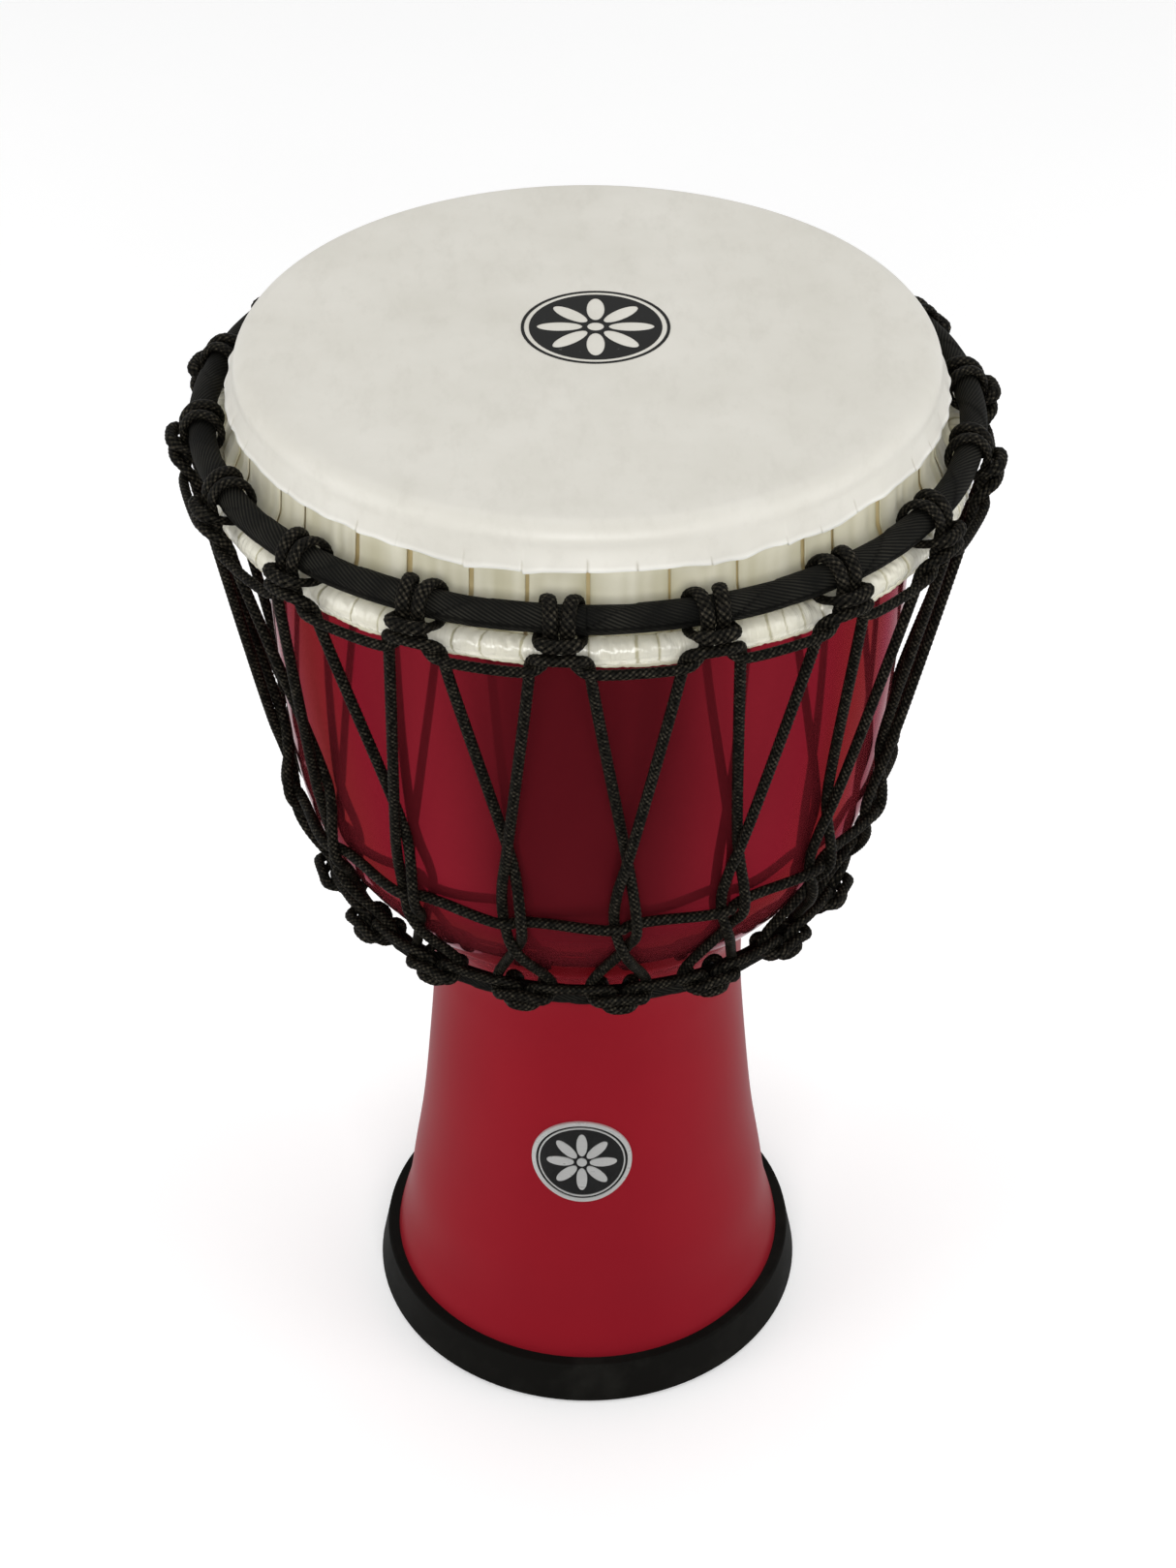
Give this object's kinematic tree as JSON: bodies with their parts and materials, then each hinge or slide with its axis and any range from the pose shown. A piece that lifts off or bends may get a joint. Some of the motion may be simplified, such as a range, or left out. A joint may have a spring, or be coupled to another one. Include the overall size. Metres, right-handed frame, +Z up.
{
  "type": "djembe",
  "caption": "Goblet-shaped hand drum with a moulded shell, rope-tensioned synthetic head, steel rings and a rubber foot band.",
  "frame": {"origin": "on the floor under the drum's axis, at the middle of the foot", "axes": "+Z up along the drum's axis towards the head, -Y towards the badge, +X to the right of someone facing the badge"},
  "size_m": [0.2086, 0.2092, 0.3201],
  "materials": {
    "bowl": "high gloss deep red",
    "stem": "satin deep red",
    "rubber": "smooth black rubber",
    "head_film": "fibrous off-white polyester film",
    "collar_film": "pleated ivory polyester film",
    "hoop_film": "glossy white film wrap",
    "steel": "plain round steel rod",
    "ring_tape": "black twill cloth tape",
    "rope": "black braided polyester rope",
    "whipping_twine": "waxed black twine",
    "print_ink": "black printed ink",
    "badge_metal": "bright nickel plate",
    "badge_enamel": "black enamel"
  },
  "bodies": {
    "root": {"bowl_shell": "bowl", "stem_shell": "stem", "foot_ring": "rubber", "playing_head": "head_film", "head_collar": "collar_film", "flesh_hoop": "steel", "hoop_wrap": "hoop_film", "crown_ring": "steel", "crown_ring_tape": "ring_tape", "lower_ring": "steel", "lower_ring_tape": "ring_tape", "upper_hitch_rope": "rope", "lower_hitch_rope": "rope", "tension_rope": "rope", "weave_rope": "rope", "upper_rope_whipping": "whipping_twine", "lower_rope_whipping": "whipping_twine", "tension_rope_whipping": "whipping_twine", "weave_rope_whipping": "whipping_twine", "head_print": "print_ink", "badge_plate": "badge_metal", "badge_inlay": "badge_enamel", "badge_emblem": "badge_metal"}
  },
  "joints": []
}
